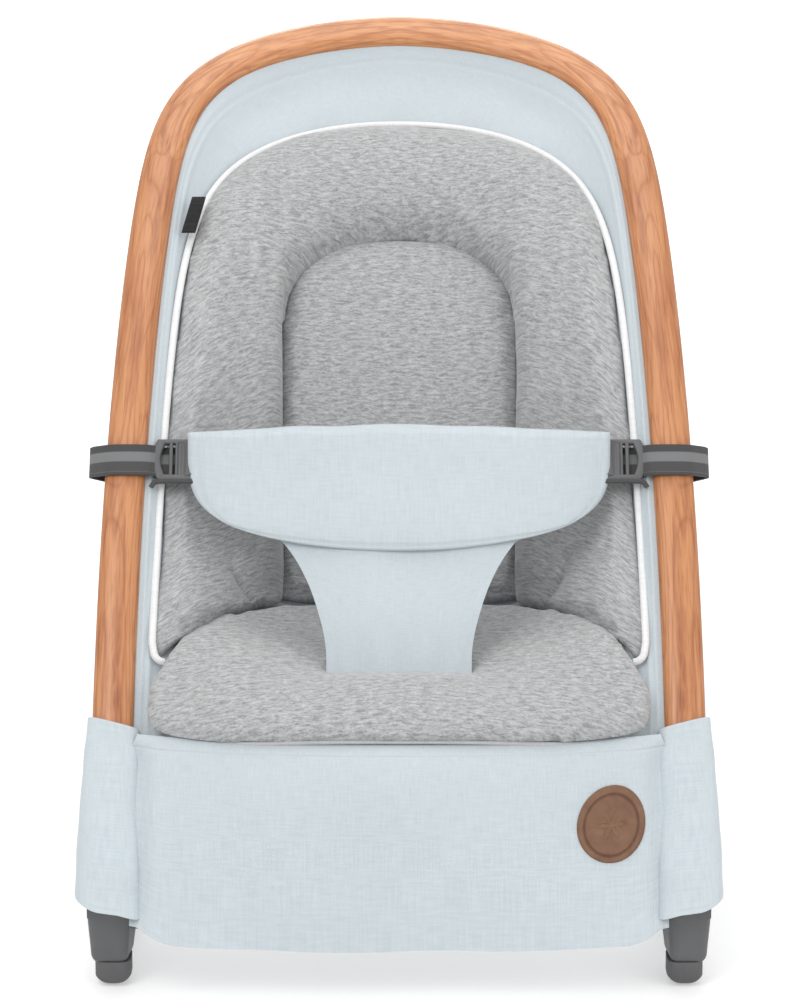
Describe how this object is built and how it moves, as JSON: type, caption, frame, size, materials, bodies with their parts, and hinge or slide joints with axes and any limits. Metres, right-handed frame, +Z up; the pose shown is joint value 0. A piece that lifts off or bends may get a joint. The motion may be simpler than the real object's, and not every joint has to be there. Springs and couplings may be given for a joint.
{
  "type": "baby bouncer seat",
  "caption": "Reclining fabric baby seat slung in a wood-look oval hoop, with padded liner, T-shaped restraint, prop strut and folding floor base.",
  "frame": {"origin": "on the floor, under the middle of the whole seat at rest", "axes": "+Z is up, the front of the seat faces -Y, and +X points to the right of someone looking at its front"},
  "size_m": [0.4608, 0.6478, 0.6162],
  "materials": {
    "wood_film": "satin wood-grain film on oval tube",
    "blue_fabric": "fine plain weave, light blue",
    "grey_jersey": "soft melange jersey",
    "webbing": "woven webbing, dark grey",
    "graphite_plastic": "fine moulded texture",
    "painted_steel": "graphite powder coat",
    "steel": "plain steel",
    "rubber": "matt",
    "brown_leather": "debossed, smooth grain",
    "black_label": "woven tape"
  },
  "bodies": {
    "base_frame": {"base_tube": "painted_steel", "front_cross_tube": "painted_steel", "front_leg_left": "graphite_plastic", "front_leg_right": "graphite_plastic", "front_foot_left": "rubber", "front_foot_right": "rubber", "rear_foot_left": "rubber", "rear_foot_right": "rubber", "recline_rack_left": "graphite_plastic", "recline_rack_right": "graphite_plastic", "pivot_pin_left": "steel", "pivot_pin_right": "steel"},
    "seat": {"hoop": "wood_film", "sling": "blue_fabric", "bolster_pad": "grey_jersey", "back_pad": "grey_jersey", "seat_pad": "grey_jersey", "front_skirt": "blue_fabric", "leather_badge": "brown_leather", "side_label": "black_label", "seat_front_rod": "steel", "end_fitting_left": "graphite_plastic", "end_fitting_right": "graphite_plastic", "boot_left": "blue_fabric", "boot_right": "blue_fabric", "strap_left": "webbing", "strap_right": "webbing", "buckle_frame_left": "graphite_plastic", "buckle_frame_right": "graphite_plastic", "strut_bracket_left": "graphite_plastic", "strut_bracket_right": "graphite_plastic", "strut_pin_left": "steel", "strut_pin_right": "steel"},
    "restraint": {"restraint_panel": "blue_fabric", "buckle_tongue_left": "graphite_plastic", "buckle_tongue_right": "graphite_plastic"},
    "strut": {"strut_cross_tube": "painted_steel", "strut_leg_left": "painted_steel", "strut_leg_right": "painted_steel", "strut_end_left": "graphite_plastic", "strut_end_right": "graphite_plastic", "strut_knuckle_left": "graphite_plastic", "strut_knuckle_right": "graphite_plastic"},
    "recline_lever": {"recline_lever": "graphite_plastic", "lever_spring": "steel"}
  },
  "joints": [
    {"name": "seat_fold", "type": "hinge", "parent": "base_frame", "child": "seat", "pos_m": [0, -0.28, 0.07], "axis": [1, 0, 0], "range_deg": [-37, 0]},
    {"name": "strut_swing", "type": "hinge", "parent": "seat", "child": "strut", "pos_m": [0, -0.08909, 0.28661], "axis": [1, 0, 0], "range_deg": [-1, 77]},
    {"name": "recline_lever_pull", "type": "hinge", "parent": "strut", "child": "recline_lever", "pos_m": [0, 0.08, 0.05], "axis": [1, 0, 0], "range_deg": [0, 20], "stiffness_Nm_per_rad": 0.8, "springref_deg": -5.73},
    {"name": "restraint_open", "type": "hinge", "parent": "seat", "child": "restraint", "pos_m": [0, -0.196, 0.21], "axis": [1, 0, 0], "range_deg": [0, 100]}
  ],
  "couplings": [
    {"joint": "strut_swing", "follows": "seat_fold", "ratio": -2.04}
  ]
}
